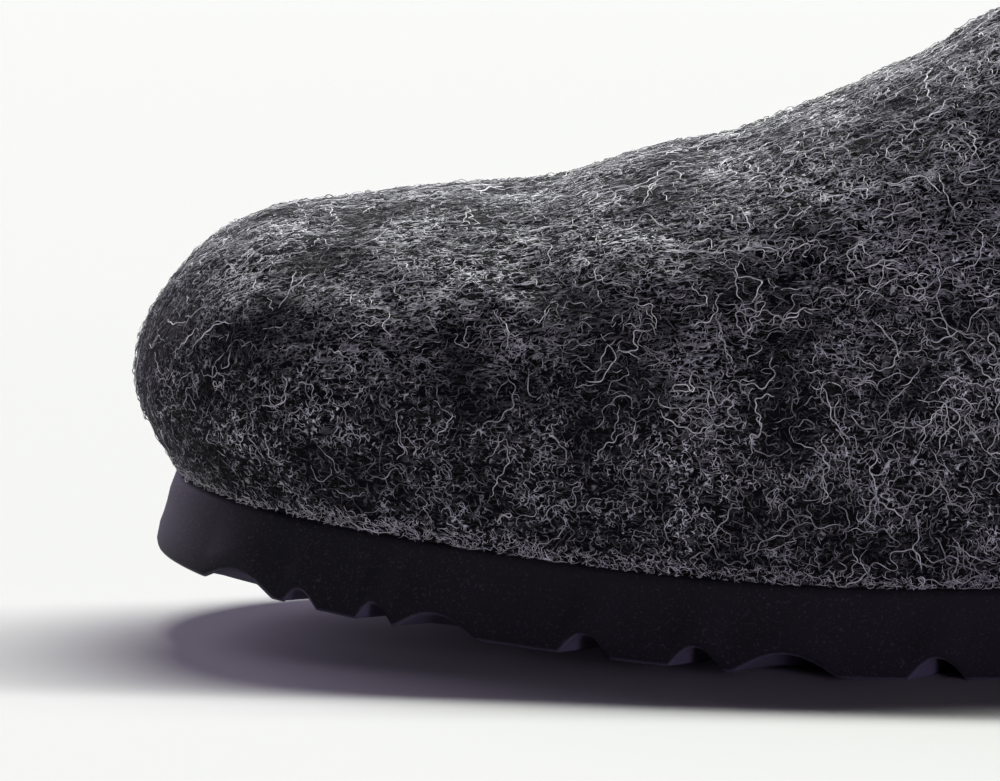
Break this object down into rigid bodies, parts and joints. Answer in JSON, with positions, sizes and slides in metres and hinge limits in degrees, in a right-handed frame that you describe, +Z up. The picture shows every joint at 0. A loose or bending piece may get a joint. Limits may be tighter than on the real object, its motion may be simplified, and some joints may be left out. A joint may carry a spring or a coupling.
{
  "type": "felt slipper",
  "caption": "Closed-toe felt slipper with a hollow blocked wool upper, a foam-rubber sole with toe spring and wavy tread, and a contoured insole.",
  "frame": {"origin": "under the middle of the shoe, on the floor it stands on", "axes": "+Z up, -X towards the toe, -Y towards the outer side of the foot"},
  "size_m": [0.2779, 0.1043, 0.0988],
  "materials": {
    "foam_rubber": "matte moulded foam rubber, fine grain",
    "wool_felt": "charcoal wool felt with loose curly grey fibres",
    "insole_felt": "dense grey felt cover"
  },
  "bodies": {
    "root": {"sole": "foam_rubber", "upper": "wool_felt", "insole": "insole_felt"}
  },
  "joints": []
}
